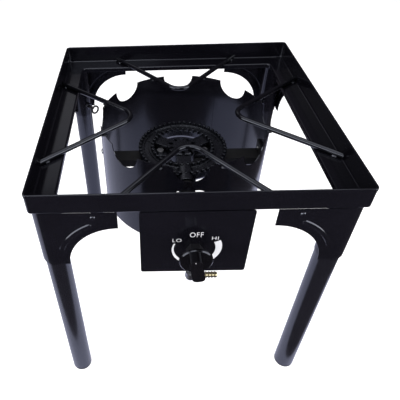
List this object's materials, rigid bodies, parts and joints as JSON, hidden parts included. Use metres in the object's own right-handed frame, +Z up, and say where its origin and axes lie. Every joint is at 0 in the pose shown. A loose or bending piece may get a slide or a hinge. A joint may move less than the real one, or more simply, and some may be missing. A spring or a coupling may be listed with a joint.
{
  "type": "single burner gas stove",
  "caption": "Square black steel stand on round legs with bent rods for the pot, a notched round wind shield, a cast ring burner, and a front panel with a gas valve knob.",
  "frame": {"origin": "on the floor, under the middle of the square frame", "axes": "+Z up, +Y to the back, +X to the right as seen from the knob, the way the hose tail points"},
  "size_m": [0.4016, 0.4368, 0.428],
  "materials": {
    "black_paint": "gloss black powder coat",
    "rod_paint": "satin black paint over round bar",
    "leg_paint": "satin black powder coat",
    "dark_steel": "matt black heat paint",
    "burner_iron": "rough cast, black",
    "zinc_steel": "zinc plated",
    "black_zinc": "black plated",
    "brass": "turned brass",
    "knob_plastic": "black moulded, satin",
    "foot_plastic": "black moulded"
  },
  "bodies": {
    "frame": {"top_frame": "black_paint", "pot_support_front": "rod_paint", "pot_support_right": "rod_paint", "pot_support_rear": "rod_paint", "pot_support_left": "rod_paint", "wind_shield": "black_paint", "burner_bar": "dark_steel", "bar_screws": "zinc_steel", "burner_casting": "burner_iron", "burner_bolts": "zinc_steel", "burner_nuts": "zinc_steel", "mixing_tube": "dark_steel", "gas_jet": "brass", "valve_body": "brass", "valve_nut": "black_zinc", "control_panel": "black_paint", "panel_rivets": "black_paint", "inlet_riser": "zinc_steel", "inlet_elbow": "zinc_steel", "hose_tail": "brass", "corner_bracket_front_left": "black_paint", "corner_bracket_front_right": "black_paint", "corner_bracket_rear_right": "black_paint", "corner_bracket_rear_left": "black_paint", "bracket_rivets": "black_paint", "leg_socket_front_left": "black_paint", "leg_socket_front_right": "black_paint", "leg_socket_rear_right": "black_paint", "leg_socket_rear_left": "black_paint", "socket_nuts": "zinc_steel"},
    "knob": {"control_knob": "knob_plastic", "valve_stem": "zinc_steel"},
    "shutter": {"air_shutter": "dark_steel", "shutter_screw": "zinc_steel"},
    "adjusting_leg_front_left": {"leg_front_left": "leg_paint", "foot_cap_front_left": "foot_plastic"},
    "eye_screw_front_left": {"leg_screw_front_left": "black_zinc"},
    "adjusting_leg_front_right": {"leg_front_right": "leg_paint", "foot_cap_front_right": "foot_plastic"},
    "eye_screw_front_right": {"leg_screw_front_right": "black_zinc"},
    "adjusting_leg_rear_right": {"leg_rear_right": "leg_paint", "foot_cap_rear_right": "foot_plastic"},
    "eye_screw_rear_right": {"leg_screw_rear_right": "black_zinc"},
    "adjusting_leg_rear_left": {"leg_rear_left": "leg_paint", "foot_cap_rear_left": "foot_plastic"},
    "eye_screw_rear_left": {"leg_screw_rear_left": "black_zinc"}
  },
  "joints": [
    {"name": "knob_turn", "type": "hinge", "parent": "frame", "child": "knob", "pos_m": [0, -0.2, 0.332], "axis": [0, -1, 0], "range_deg": [-10, 290]},
    {"name": "air_shutter_turn", "type": "hinge", "parent": "frame", "child": "shutter", "pos_m": [0, -0.144, 0.332], "axis": [0, 1, 0], "range_deg": [0, 60]},
    {"name": "leg_front_left_slide", "type": "slide", "parent": "frame", "child": "adjusting_leg_front_left", "axis": [0, 0, 1], "range_m": [-0.06, 0]},
    {"name": "leg_front_right_slide", "type": "slide", "parent": "frame", "child": "adjusting_leg_front_right", "axis": [0, 0, 1], "range_m": [-0.06, 0]},
    {"name": "leg_rear_right_slide", "type": "slide", "parent": "frame", "child": "adjusting_leg_rear_right", "axis": [0, 0, 1], "range_m": [-0.06, 0]},
    {"name": "leg_rear_left_slide", "type": "slide", "parent": "frame", "child": "adjusting_leg_rear_left", "axis": [0, 0, 1], "range_m": [-0.06, 0]},
    {"name": "eye_screw_front_left_turn", "type": "hinge", "parent": "frame", "child": "eye_screw_front_left", "pos_m": [-0.16666, -0.16666, 0.322], "axis": [0.7071, 0.7071, 0], "continuous": true},
    {"name": "eye_screw_front_right_turn", "type": "hinge", "parent": "frame", "child": "eye_screw_front_right", "pos_m": [0.16666, -0.16666, 0.322], "axis": [-0.7071, 0.7071, 0], "continuous": true},
    {"name": "eye_screw_rear_right_turn", "type": "hinge", "parent": "frame", "child": "eye_screw_rear_right", "pos_m": [0.16666, 0.16666, 0.322], "axis": [-0.7071, -0.7071, 0], "continuous": true},
    {"name": "eye_screw_rear_left_turn", "type": "hinge", "parent": "frame", "child": "eye_screw_rear_left", "pos_m": [-0.16666, 0.16666, 0.322], "axis": [0.7071, -0.7071, 0], "continuous": true}
  ]
}
